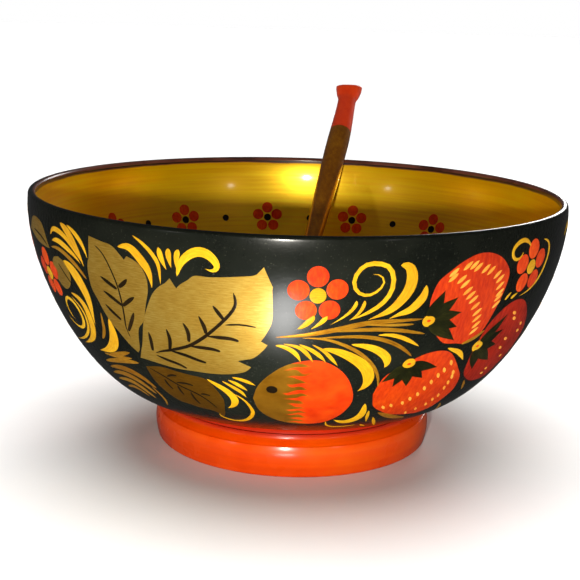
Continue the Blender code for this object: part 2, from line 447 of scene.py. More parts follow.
# %% [markdown]
# ## Lacquer for the wood
# Khokhloma gold is tin or aluminium powder under amber lacquer baked in a kiln, so it is a warm metal with a
# clear coat. The inside keeps faint rings from the lathe and the rubbing cloth. The black is a paint under
# the same clear coat, with a fine orange-peel skin. Vermilion covers the foot and the cove above it.


# %% Lacquer recipes
# Each pair is where an edge between two finishes starts and where it is full, as a radius or a height.
BORDER_RADII = (0.0566, 0.0568)
LIP_LINE_RADII = (0.1006, 0.1002)
LIP_LINE_HEIGHTS = (0.0956, 0.0959)
BROWN_LINE_HEIGHTS = (0.0953, 0.0957)
BLACK_LAP_HEIGHTS = (0.0958, 0.0961)
# Where the painted shade in the cove starts and where it is full, as a height.
COVE_SHADE_HEIGHTS = (0.0122, 0.0150)


def rings_place(tree):
    """Place on a turned piece as (distance from the axis, height, a little of x), so noise runs in rings."""
    place = object_place(tree)
    split = wire(tree, "SeparateXYZ", {0: place})
    flat = wire(tree, "CombineXYZ", {0: split.outputs[0], 1: split.outputs[1]})
    radius = wire(tree, "VectorMath", {0: flat.outputs[0]}, operation="LENGTH").outputs["Value"]
    faint = sums(tree, "MULTIPLY", split.outputs[0], 0.02)
    made = wire(tree, "CombineXYZ", {0: radius, 1: split.outputs[2], 2: faint})
    return made.outputs[0], radius, split.outputs[2]


def black_lacquer():
    """Black paint with orange peel and pale specks, a vermilion border below and a pinkish-brown line in the
    lip.
    """
    made, tree, shader = new_material(
        "black_lacquer", Coat_Weight=0.5, Coat_Roughness=0.20, Specular_IOR_Level=0.03
    )
    place = object_place(tree)
    _, radius, height = rings_place(tree)
    cloud = grain(tree, place, 60.0, detail=5.0)
    black = ramp(tree, cloud, [(0.3, (0.0030, 0.0038, 0.0026, 1)), (0.75, (0.0080, 0.0092, 0.0060, 1))])
    # Pale grey specks are mixed into the black, and the same noise adds to the bump.
    speck_noise = grain(tree, place, 1500.0, detail=2.0)
    speck = level(tree, speck_noise, 0.66, 0.74)
    black = blend_of(tree, sums(tree, "MULTIPLY", speck, 0.35), black, (0.07, 0.07, 0.05, 1))
    wobble = sums(tree, "MULTIPLY", grain(tree, place, 45.0, detail=2.0), 0.0024)
    edge = level(tree, sums(tree, "ADD", radius, wobble), *BORDER_RADII)
    red = tinted(tree, grain(tree, place, 130.0), 0.2, (196, 44, 8), (226, 66, 12))
    painted = blend_of(tree, edge, red, black)
    faint = sums(tree, "MULTIPLY", wobble, 0.25)
    # A pinkish-brown line along the inner edge of the lip top, broken up by the cloud.
    inner_edge = level(tree, sums(tree, "ADD", radius, faint), *LIP_LINE_RADII)
    lip_line_mask = sums(tree, "MULTIPLY", inner_edge, level(tree, height, *LIP_LINE_HEIGHTS))
    lip_line_mask = sums(tree, "MULTIPLY", lip_line_mask, level(tree, cloud, 0.35, 0.55, 0.35, 0.9))
    painted = blend_of(tree, lip_line_mask, painted, colour(128, 74, 60))
    feed(tree, shader, Base_Color=painted, Roughness=level(tree, cloud, 0.3, 0.8, 0.26, 0.38))
    peel = grain(tree, place, 700.0, detail=3.0)
    bump(tree, shader, sums(tree, "ADD", peel, sums(tree, "MULTIPLY", speck_noise, 0.35)), 0.9, 0.00014)
    return made


def inner_gold():
    """Amber-gold lacquer with lathe rings, then a brown line and a black lap just under the lip."""
    made, tree, shader = new_material("inner_gold", Coat_Weight=0.3, Coat_Roughness=0.1, Specular_IOR_Level=0.4)
    place = object_place(tree)
    rings, _, height = rings_place(tree)
    fine = grain(tree, rings, 900.0, detail=4.0, roughness=0.6)
    broad = grain(tree, place, 22.0, detail=5.0)
    tone = weighted(tree, fine, 0.5, broad, 0.5)
    gold = tinted(tree, tone, 0.18, (240, 174, 0), (254, 202, 0), (255, 220, 8))
    wobble = sums(tree, "MULTIPLY", grain(tree, place, 60.0, detail=2.0), 0.0010)
    lap = level(tree, sums(tree, "ADD", height, wobble), *BLACK_LAP_HEIGHTS)
    brown = level(tree, sums(tree, "ADD", height, wobble), *BROWN_LINE_HEIGHTS)
    gold = blend_of(tree, brown, gold, colour(120, 62, 44))
    feed(
        tree,
        shader,
        Base_Color=blend_of(tree, lap, gold, (0.006, 0.006, 0.005, 1)),
        Metallic=level(tree, brown, 0.0, 1.0, 0.45, 0.0),
        Roughness=level(tree, fine, 0.3, 0.7, 0.28, 0.38),
    )
    bump(tree, shader, tone, 0.25, 0.00008)
    return made


def vermilion():
    """Orange-red lacquer with brush rings, bright on the belly, and a darker red in the cove as painted shade.
    """
    made, tree, shader = new_material(
        "vermilion_lacquer", Coat_Weight=0.6, Coat_Roughness=0.2, Specular_IOR_Level=0.1
    )
    place = object_place(tree)
    rings, _, height = rings_place(tree)
    brushed = grain(tree, rings, 420.0, detail=3.0)
    cloud = grain(tree, place, 50.0, detail=4.0)
    tone = weighted(tree, brushed, 0.45, cloud, 0.55)
    belly = tinted(tree, tone, 0.2, (232, 62, 0), (250, 80, 0), (255, 100, 2))
    # The cove under the bowl turns a darker red here: painted shade.
    cove = level(tree, height, *COVE_SHADE_HEIGHTS)
    painted_cove_shade = tinted(tree, tone, 0.2, (160, 26, 2), (196, 44, 2))
    red = blend_of(tree, cove, belly, painted_cove_shade)
    feed(tree, shader, Base_Color=red, Roughness=level(tree, cloud, 0.3, 0.7, 0.22, 0.36))
    bump(tree, shader, tone, 0.4, 0.00018)
    return made


BLACK, GOLD_INSIDE, VERMILION = black_lacquer(), inner_gold(), vermilion()
print("lacquers:", BLACK.name, GOLD_INSIDE.name, VERMILION.name)

# %% [markdown]
# ## The bowl and the foot
# The bowl's outline runs from the middle of its floor up the inside, over the round lip, down the painted
# wall and into the cove. The foot is a second turning with a short spigot glued into the bowl. Its ridge
# line and its full belly catch the light.


# %% The bowl
def bowl_rows():
    """The bowl's outline as four runs, each with its finish: inside, lip and wall, cove, and base."""
    dish = np.linspace(0.0, inner_wall[0, 0], 40)[:-1]
    dish_height = inner_wall[0, 1] - FLOOR_DISH * (1 - (dish / inner_wall[0, 0]) ** 2)
    inside = np.concatenate([np.stack([dish, dish_height], axis=1), inner_wall[:-1]])
    lip = arc(lip_centre, LIP_ROUND - SKIN_INSET * 0.3, lean + math.pi, lean, 16)
    lip[:, 1] += bowl_high[2] - lip[:, 1].max()
    cove_round = WALL[0, 0] - NECK_RADIUS
    cove = arc((WALL[0, 0], outer_wall[0, 1] - cove_round), cove_round, math.pi / 2, math.pi, 12)[1:]
    seam = SEAM + GAP / 2
    socket = seam + SPIGOT[1] + GAP
    base = np.array([(NECK_RADIUS, seam), (SPIGOT[0] + GAP, seam), (SPIGOT[0] + GAP, socket), (0.0, socket)])
    wall = outer_wall[::-1][1:]
    return [(inside, GOLD_INSIDE), (lip, BLACK), (wall, BLACK), (cove, VERMILION), (base, VERMILION)]


runs = bowl_rows()
finishes = [(len(points), finish) for points, finish in runs]
finishes[-1] = (finishes[-1][0] - 1, VERMILION)
bowl = turned("bowl_shell", np.concatenate([points for points, _ in runs]), finishes, "bowl")
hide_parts("bowl_body")

# %% The foot
FOOT_REST, FOOT_BELLY, FOOT_RIDGE = 0.0522, 0.0541, 0.0533
RIDGE_HEIGHT = 0.0119
FOOT_EDGE = 0.0012
RIDGE_STEP = 0.0006


def foot_outline():
    """The foot's section: spigot, cove, a small step at the ridge, a full belly and a rounded edge."""
    seam = SEAM - GAP / 2
    spigot = [(0.0, seam + SPIGOT[1]), (SPIGOT[0], seam + SPIGOT[1]), (SPIGOT[0], seam)]
    shoulder = (FOOT_RIDGE - RIDGE_STEP, RIDGE_HEIGHT)
    pull = (NECK_RADIUS, (seam + RIDGE_HEIGHT) / 2)
    cove = cubic((NECK_RADIUS, seam), pull, pull, shoulder, 20)
    belly = cubic(
        (FOOT_RIDGE, RIDGE_HEIGHT - 0.0003),
        (FOOT_BELLY + FOOT_EDGE / 2, RIDGE_HEIGHT * 2 / 3),
        (FOOT_BELLY, RIDGE_HEIGHT / 3),
        (FOOT_REST + FOOT_EDGE, FOOT_EDGE),
        24,
    )
    edge = arc((FOOT_REST, FOOT_EDGE), FOOT_EDGE, 0.0, -math.pi / 2, 8)[1:]
    rest = np.stack([np.linspace(FOOT_REST, 0.0, 8)[1:], np.zeros(7)], axis=1)
    return np.concatenate([spigot, cove, belly, edge, rest])


outline = foot_outline()
foot = turned("foot_shell", outline, [(len(outline) - 1, VERMILION)], "bowl")
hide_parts("foot")
lights_only(table_gleam("lacquer_gleam", 0.34), [bowl, foot])

# %% [markdown]
# ## A map of the wall
# A painter turns the bowl and draws as if on flat paper. The map used here does the same: its first number
# is the angle round the bowl from the front, and its second grows so that a small circle on the map is a
# small circle on the wall. Each step of height adds its length divided by the radius, counted in degrees.


# %% The map and the way back to the wall
def wall_map(wall, facing):
    """Table of (map height, radius, height, normal) along a wall; map height sums length over radius."""
    step = np.linalg.norm(np.diff(wall, axis=0), axis=1)
    middle = (wall[1:, 0] + wall[:-1, 0]) / 2
    map_height = np.degrees(np.concatenate([[0.0], np.cumsum(step / middle)]))
    return np.column_stack([map_height, wall, facing * outward(wall)])


OUTSIDE = wall_map(outer_wall, 1)
INSIDE = wall_map(inner_wall, -1)
print("map heights:", OUTSIDE[-1, 0].round(1), "outside,", INSIDE[-1, 0].round(1), "inside")


def on_wall(table, spots, lift):
    """Take (angle, map height) spots to the wall and out along its normal by the lift."""
    angle = np.radians(spots[..., 0])
    radius, height, across, up = (np.interp(spots[..., 1], table[:, 0], table[:, k]) for k in (1, 2, 3, 4))
    radius = radius + across * lift
    return np.stack([radius * np.sin(angle), -radius * np.cos(angle), height + up * lift], axis=-1)


# %% [markdown]
# ## Brush marks
# Every mark is one grid: rows run along it, and columns cross it from its left edge over its middle to its
# right edge. The top is slightly crowned like wet paint, the underside sinks into the wall, and both ends
# close in a point. A stroke has a middle line and a width that swells and tapers. A leaf has two drawn edges
# and a midrib. A dot or a berry is a loop cut into a left and a right edge.

# %% Lines
SINK = -0.03 * MM
CROWN = 0.05 * MM
LAYER_STEP = 0.015 * MM
FIRST_LAYER = 0.4
EDGE_SHARE = 0.2


def smooth_line(points, count):
    """A Catmull-Rom curve through the points, read at even chord lengths. A repeated point is a corner."""
    p = np.array(points, float)
    p = np.vstack([2 * p[0] - p[1], p, 2 * p[-1] - p[-2]])
    reach = np.concatenate([[0.0], np.cumsum(np.linalg.norm(np.diff(p[1:-1], axis=0), axis=1))])
    place = np.linspace(0.0, reach[-1] * (1 - 1e-9), count)
    k = np.searchsorted(reach, place, side="right") - 1
    t = ((place - reach[k]) / (reach[k + 1] - reach[k]))[:, None]
    a, b, c, d = p[k], p[k + 1], p[k + 2], p[k + 3]
    return 0.5 * (2 * b + (c - a) * t + (2 * a - 5 * b + 4 * c - d) * t**2 + (3 * b - a - 3 * c + d) * t**3)


def soft_line(points, count):
    """A uniform cubic B-spline near the points: each spot is a weighted mean of four neighbours."""
    p = np.array(points, float)
    p = np.vstack([2 * p[0] - p[1], p, 2 * p[-1] - p[-2]])
    place = np.linspace(0.0, (len(p) - 3) * (1 - 1e-9), count)
    k = place.astype(int)
    t = (place - k)[:, None]
    a, b, c, d = p[k], p[k + 1], p[k + 2], p[k + 3]
    near = (3 * t**3 - 6 * t**2 + 4) * b + (3 * t + 3 * t**2 - 3 * t**3 + 1) * c
    return ((1 - t) ** 3 * a + near + t**3 * d) / 6


def swell(share, peak, fullness):
    """Width along a stroke, 0 to 1: a quarter wave up to the peak and one down after it, to a power."""
    rise = np.sin(np.pi / 2 * np.clip(share / peak, 0, 1)) ** 0.6
    fall = np.cos(np.pi / 2 * np.clip((share - peak) / (1 - peak), 0, 1)) ** fullness
    return rise * fall


class Marks:
    """A batch of brush marks that share one paint and one layer, gathered as whole arrays."""

    def __init__(self, table, layer):
        self.table = table
        self.lift = (layer + FIRST_LAYER) * LAYER_STEP
        self.base = CROWN if layer >= 2 else 0.0
        self.corners, self.faces, self.uv, self.lots = [], [], [], []
        self.count = 0

    def add(self, left, middle, right, uv_left, uv_middle, uv_right, halves):
        """One mark from three lines with equal counts. Columns sit at even shares of each half."""
        rows = len(middle)
        share = np.linspace(0.0, 1.0, halves + 1)[None, :, None]
        to_left = middle[:, None] + (left - middle)[:, None] * share
        to_right = middle[:, None] + (right - middle)[:, None] * share
        uv_to_left = uv_middle[:, None] + (uv_left - uv_middle)[:, None] * share
        uv_to_right = uv_middle[:, None] + (uv_right - uv_middle)[:, None] * share
        top = np.concatenate([to_left[:, ::-1], to_right[:, 1:]], axis=1)
        uv_top = np.concatenate([uv_to_left[:, ::-1], uv_to_right[:, 1:]], axis=1)
        off = np.abs(np.linspace(-1.0, 1.0, 2 * halves + 1))
        edge = self.base + self.lift * EDGE_SHARE
        height = self.base + self.lift + CROWN * (1 - off ** (2 * halves))
        height[[0, -1]] = edge
        height = np.tile(height, (rows, 1))
        height[[0, -1]] = edge
        under = np.full((rows, 2 * halves - 1), SINK)
        under[[0, -1]] = edge
        ring = np.concatenate([top, top[:, -2:0:-1]], axis=1)
        lifts = np.concatenate([height, under], axis=1)
        around = ring.shape[1]
        self.corners.append(on_wall(self.table, ring, lifts).reshape(-1, 3))
        self.faces.append(grid_faces(rows, around) + self.count)
        self.uv.append(np.concatenate([uv_top, uv_top[:, -2:0:-1]], axis=1).reshape(-1, 2))
        lot = (len(self.lots) * 0.381966) % 1.0
        self.lots.append(np.full(rows * around, lot))
        self.count += rows * around

    def stroke(self, width, peak, points, fullness=1.0, rows=26, halves=2):
        """A brush stroke: its edges lie half the swelling width to each side of a smooth line."""
        middle = soft_line(points, rows)
        along = np.gradient(middle, axis=0)
        along /= np.maximum(np.linalg.norm(along, axis=1, keepdims=True), 1e-9)
        side = np.stack([-along[:, 1], along[:, 0]], axis=1)
        half = width / 2 * swell(np.linspace(0.0, 1.0, rows), peak, fullness)[:, None]
        length = np.concatenate([[0.0], np.cumsum(np.linalg.norm(np.diff(middle, axis=0), axis=1))])[:, None]
        uv = [np.hstack([length, k * half]) / 10 for k in (1, 0, -1)]
        self.add(middle + side * half, middle, middle - side * half, *uv, halves)

    def blade(self, left, middle, right, rows=120, halves=12):
        """A leaf between two drawn edges that meet the midrib at its base and tip."""
        left, middle, right = (smooth_line(line, rows) for line in (left, middle, right))
        centre = middle.mean(axis=0)
        self.add(left, middle, right, *((line - centre) / 10 for line in (left, middle, right)), halves)

    def blob(self, loop, rows=60, halves=12):
        """A closed loop cut into two edges that run from its first point to the point opposite."""
        whole = smooth_line(list(loop) + [loop[0]], 2 * rows - 1)
        left, right = whole[:rows], whole[::-1][:rows]
        middle = (left + right) / 2
        centre = middle.mean(axis=0)
        self.add(left, middle, right, *((line - centre) / 10 for line in (left, middle, right)), halves)

    def dot(self, place, radius, rows=9, halves=3):
        """A round touch of the brush."""
        angle = np.linspace(0.0, np.pi, rows)
        across = radius * np.stack([np.cos(angle), np.sin(angle)], axis=1)
        left, right = across, across * (1, -1)
        self.add(
            place + left,
            place + across * (1, 0),
            place + right,
            left / 10,
            across * (1, 0) / 10,
            right / 10,
            halves,
        )

    def finish(self, name, material, slot="bowl_lacquer"):
        """Join the batch into one piece, with its brush UV map and its lot numbers."""
        corners, faces = np.concatenate(self.corners), np.concatenate(self.faces)
        piece = new_piece(name, corners, faces, [material], "bowl")
        mesh = piece.data
        loops = np.empty(len(mesh.loops), np.int32)
        mesh.loops.foreach_get("vertex_index", loops)
        layer = mesh.uv_layers.new(name="brush")
        layer.data.foreach_set("uv", np.concatenate(self.uv)[loops].astype(np.float32).ravel())
        mesh.attributes.new("lot", "FLOAT", "POINT").data.foreach_set(
            "value", np.concatenate(self.lots).astype(np.float32)
        )
        close_up(piece, PAINT_SHARP)
        return piece


# %% [markdown]
# ## Paints
# The gold of the leaves is the metal ground itself, left bare while the black goes round it, so it is a
# satin metal with brush streaks. Yellow, red and green are thin opaque paints under the clear coat. Each
# recipe reads the mark's own UV map, so the streaks follow the brush.


# %% Paint recipe
def brush_paint(
    name, *tints, metallic=0.0, roughness=0.36, streak=(1.6, 14.0, 1.0), wear=0.0, coat=0.06, haze=0.12
):
    """Paint with streaks along the brush: three tints looked up by streaks, clouds and the mark's lot."""
    made, tree, shader = new_material(
        name, Metallic=metallic, Coat_Weight=coat, Coat_Roughness=haze, Specular_IOR_Level=0.12
    )
    lot = lot_number(tree)
    along, aside = sums(tree, "MULTIPLY", lot, 37.0), sums(tree, "MULTIPLY", lot, 11.0)
    shift = wire(tree, "CombineXYZ", {0: along, 1: aside})
    place = wire(tree, "VectorMath", {0: brush_place(tree), 1: shift.outputs[0]}, operation="ADD").outputs[0]
    streaks = grain(tree, stretched(tree, place, streak), 3.0, detail=5.0, roughness=0.65)
    cloud = grain(tree, object_place(tree), 90.0, detail=4.0)
    tone = weighted(tree, streaks, 0.6, cloud, 0.3)
    tone = sums(tree, "ADD", tone, sums(tree, "MULTIPLY", lot, 0.1))
    base = tinted(tree, tone, 0.16, *tints)
    if wear:
        fleck = level(tree, grain(tree, object_place(tree), 1300.0, detail=2.0), 0.63, 0.70)
        base = blend_of(tree, sums(tree, "MULTIPLY", fleck, wear), base, (0.012, 0.010, 0.006, 1))
    gloss = level(tree, tone, 0.3, 0.7, roughness + 0.08, roughness - 0.06)
    feed(tree, shader, Base_Color=base, Roughness=gloss)
    bump(tree, shader, tone, 0.35, 0.00008)
    return made


GOLD_STROKE = {"metallic": 0.75, "roughness": 0.50, "wear": 0.1, "coat": 0.6, "haze": 0.26}
SHADED_LEAF_STROKE = {"metallic": 0.8, "roughness": 0.45, "wear": 0.1}
STEM_STROKE = {"metallic": 0.55, "roughness": 0.36, "wear": 0.2}
ACROSS = (5.0, 1.4, 1.0)
LEAF_GOLD = brush_paint("leaf_gold", (178, 134, 40), (202, 160, 60), (218, 184, 88), **GOLD_STROKE)
# The lower leaf's gold is a darker copy of the leaf gold: painted shade of the less lit lower wall.
SHADED_LEAF_GOLD = brush_paint("shaded_leaf_gold", (128, 84, 14), (152, 104, 20), (176, 128, 34), **SHADED_LEAF_STROKE)
STEM_GOLD = brush_paint("stem_gold", (160, 98, 14), (200, 138, 28), (222, 168, 50), **STEM_STROKE)
YELLOW = brush_paint("brush_yellow", (192, 130, 6), (216, 160, 12), (232, 186, 30), wear=0.1)
RED = brush_paint("berry_red", (172, 34, 0), (200, 54, 0), (220, 80, 0), streak=ACROSS)
DARK_RED = brush_paint("berry_shade", (126, 16, 0), (168, 30, 0), (196, 50, 2), streak=ACROSS)
PETAL = brush_paint("petal_red", (186, 38, 0), (218, 62, 0), (234, 90, 8), streak=(5.0, 2.0, 1.0))
OLIVE = brush_paint("calyx_olive", (14, 16, 4), (28, 30, 8), (52, 50, 14), wear=0.3)
VEIN = brush_paint("vein_brown", (18, 12, 4), (30, 20, 6), (48, 32, 10))
SEED = brush_paint("seed_yellow", (230, 132, 36), (242, 158, 52), (250, 182, 76))
INSIDE_BLACK = brush_paint("inside_black", (10, 8, 6), (18, 14, 10), (30, 24, 14))
print("paints:", len([m for m in bpy.data.materials if m.node_tree]))

# %% [markdown]
# ## The picture
# Numbers here are map degrees: angle round the bowl from the front, then map height. The picture covers half
# the bowl and is painted twice. First come the leaves: three long toothed blades from one stalk. A spare
# copy of the first blade fills the gap between the two pictures.

# %% Leaves
SIDES = (0.0, 180.0)
LEAF_A = (
    [
        (-35, 39.5), (-36.5, 41), (-38.5, 44), (-40.5, 47), (-42, 51), (-43, 53.5), (-43, 57), (-42.5, 59),
        (-42, 60), (-41.5, 64),
    ],
    [
        (-35, 39.5), (-36, 46), (-35.5, 47.5), (-35, 51), (-35, 54), (-35.5, 56.5), (-36.5, 59),
        (-38, 61.5), (-40, 62.5), (-41.5, 64),
    ],
    [
        (-35, 39.5), (-34, 41), (-32.5, 46), (-30.5, 48.5), (-29, 52.5), (-28, 55.5), (-28, 58), (-29, 60),
        (-30.5, 61), (-32, 61.5), (-32, 61.5), (-32, 59.5), (-32, 59.5), (-32.5, 60.5), (-33.5, 61.5),
        (-35.5, 63), (-38.5, 63.5), (-41.5, 64),
    ],
)
LEAF_B = (
    [
        (-35, 38), (-34, 40), (-32.5, 43), (-30.5, 48.5), (-28.5, 52.5), (-27, 55), (-25.5, 56.5),
        (-24, 57.5), (-23, 58.5), (-23, 58.5), (-22, 56.5), (-22, 56.5), (-21, 57.5), (-19.5, 58.5),
        (-18, 59.5), (-15, 59.5), (-10, 60), (-7, 60.5), (-5.5, 62),
    ],
    [
        (-35, 38), (-30, 40.5), (-28, 41.5), (-26, 42), (-23.5, 43), (-21, 44), (-19, 45.5), (-17, 47),
        (-13, 51), (-11, 53.5), (-10.5, 55), (-9, 58), (-5.5, 62),
    ],
    [
        (-35, 38), (-34, 38), (-30, 37.5), (-26, 37), (-21.5, 37), (-17, 37), (-13, 37.5), (-10, 38.5),
        (-8.5, 40), (-8.5, 40), (-12, 40.5), (-12, 40.5), (-11, 41.5), (-8, 42.5), (-6, 44.5), (-5, 46),
        (-5, 46), (-7.5, 45.5), (-7.5, 45.5), (-6.5, 46.5), (-5, 49), (-4, 52), (-4, 58), (-4, 58.5),
        (-5.5, 62),
    ],
)
LEAF_C = (
    [
        (-34.5, 35.5), (-30, 36.5), (-26, 36), (-22.5, 35.5), (-19.5, 35), (-18, 33), (-16.5, 29),
        (-16.5, 26.5), (-17, 24), (-17.5, 21.5), (-18.5, 19),
    ],
    [
        (-34.5, 35.5), (-32, 34.5), (-29.5, 33), (-27, 31), (-24.5, 30), (-22, 28.5), (-20, 26),
        (-19, 23.5), (-18.5, 19),
    ],
    [
        (-34.5, 35.5), (-34.5, 34), (-34, 30.5), (-32, 26.5), (-29.5, 24), (-27.5, 23.5), (-24.5, 22.5),
        (-21, 22), (-19.5, 21), (-18.5, 19),
    ],
)
ROUND_LEAF = [
    (-53.5, 58), (-51, 57), (-50, 54.5), (-51.5, 52), (-54, 51), (-56.5, 52.5), (-57.2, 55.3), (-56, 57.3),
]
FAR_LEAF = (
    [(-57, 59), (-60, 59), (-65, 59.5), (-70, 61)],
    [(-57, 59), (-61, 61), (-66, 61.5), (-70, 61)],
    [(-57, 59), (-60, 63.5), (-66, 64), (-70, 61)],
)


def turned_by(points, side):
    """The same points moved round the bowl."""
    return np.array(points, float) + (side, 0.0)


SPARE_LEAF = 122.0
leaves, shaded_leaves = Marks(OUTSIDE, 0), Marks(OUTSIDE, 0)
for side in SIDES:
    leaves.blade(*(turned_by(line, side + SPARE_LEAF) for line in LEAF_A))
    for leaf in (LEAF_A, LEAF_B, FAR_LEAF):
        leaves.blade(*(turned_by(line, side) for line in leaf))
    leaves.blob(turned_by(ROUND_LEAF, side))
    # The lower leaf is drawn in the darker gold, as painted shade.
    shaded_leaves.blade(*(turned_by(line, side) for line in LEAF_C))
leaves.finish("gold_leaves", LEAF_GOLD)
shaded_leaves.finish("shaded_gold_leaves", SHADED_LEAF_GOLD)

# %% [markdown]
# ## Veins
# A fine liner brush draws the midrib and the side veins in dark brown over the gold. A leaf's middle line is
# its midrib, so the three long veins read it. Each entry is (width, where it is widest, points).

# %% Veins
VEINS = [
    (0.7, 0.3, [(-35.5, 43), *LEAF_A[1][1:-1]]),
    (1.5, 0.5, [(-39.5, 56.5), (-37.5, 55.5), (-35.5, 54.5)]),
    (1.5, 0.5, [(-39.5, 53.5), (-37.5, 52.5), (-35, 51)]),
    (1.5, 0.5, [(-40, 50.5), (-38.5, 49), (-36.5, 47.5)]),
    (1.5, 0.5, [(-32.5, 57), (-33.5, 56), (-35, 55)]),
    (1.5, 0.5, [(-31.5, 53.5), (-33, 52.5), (-35, 51)]),
    (1.5, 0.5, [(-32.5, 50), (-33.5, 48), (-35.5, 45)]),
    (1.3, 0.3, [*LEAF_B[1][1:-2], (-11, 57)]),
    (1.5, 0.5, [(-30, 46), (-30, 43.5), (-30.5, 41)]),
    (1.5, 0.5, [(-25.5, 47.5), (-25, 45), (-26, 42)]),
    (1.5, 0.5, [(-21.5, 49.5), (-20.5, 47.5), (-21, 45)]),
    (1.5, 0.5, [(-18, 51.5), (-17, 49), (-17, 47.5)]),
    (1.4, 0.5, [(-15, 54), (-14, 52.5), (-13, 51)]),
    (1.4, 0.35, [(-30, 40), (-27, 39), (-24.5, 38.5), (-23, 37.5)]),
    (1.5, 0.35, [(-26, 42), (-22.5, 41.5), (-20, 40.5), (-18, 40)]),
    (1.5, 0.35, [(-21, 44), (-18, 44), (-16, 44), (-14.5, 43.5)]),
    (1.5, 0.35, [(-17, 47), (-13.5, 47), (-12, 47), (-10.5, 46.5)]),
    (0.7, 0.25, [(-13, 50), (-10, 50.5), (-7, 50)]),
    (1.0, 0.35, [(-34, 35.5), *LEAF_C[1][1:-1]]),
    (1.2, 0.4, [(-29.5, 33.5), (-28, 34.5), (-26.5, 34.5)]),
    (1.2, 0.4, [(-27.5, 32), (-25, 32.5), (-23, 32)]),
    (1.2, 0.4, [(-22, 29), (-21, 29.5), (-19.5, 29)]),
    (1.2, 0.4, [(-30.5, 32.5), (-30.5, 31), (-29.5, 29)]),
    (1.2, 0.4, [(-27.5, 31), (-27.5, 29.5), (-27, 27.5)]),
    (1.2, 0.4, [(-24.5, 29.5), (-24.5, 27), (-23.5, 24.5)]),
    (0.7, 0.3, [(-58, 59.5), (-61, 61), (-66, 61.5)]),
    (0.7, 0.5, [(-54, 56.5), (-52, 54.5), (-50.5, 53)]),
]
LEAF_A_VEINS = 7
VEIN_WEIGHT = 0.58
veins = Marks(OUTSIDE, 2)
for side in SIDES:
    for width, peak, points in VEINS[:LEAF_A_VEINS]:
        veins.stroke(VEIN_WEIGHT * width, peak, turned_by(points, side + SPARE_LEAF), fullness=0.2)
    for width, peak, points in VEINS:
        veins.stroke(VEIN_WEIGHT * width, peak, turned_by(points, side), fullness=0.2)
veins.finish("leaf_veins", VEIN)

# %% [markdown]
# ## Yellow commas and curls
# The quick yellow strokes fill the black between the big forms. A comma starts with a round press of the
# brush and thins to nothing, so its width peaks early. A curl is an even line that rolls up at its end. The
# spare strokes fill the gap between the two pictures.

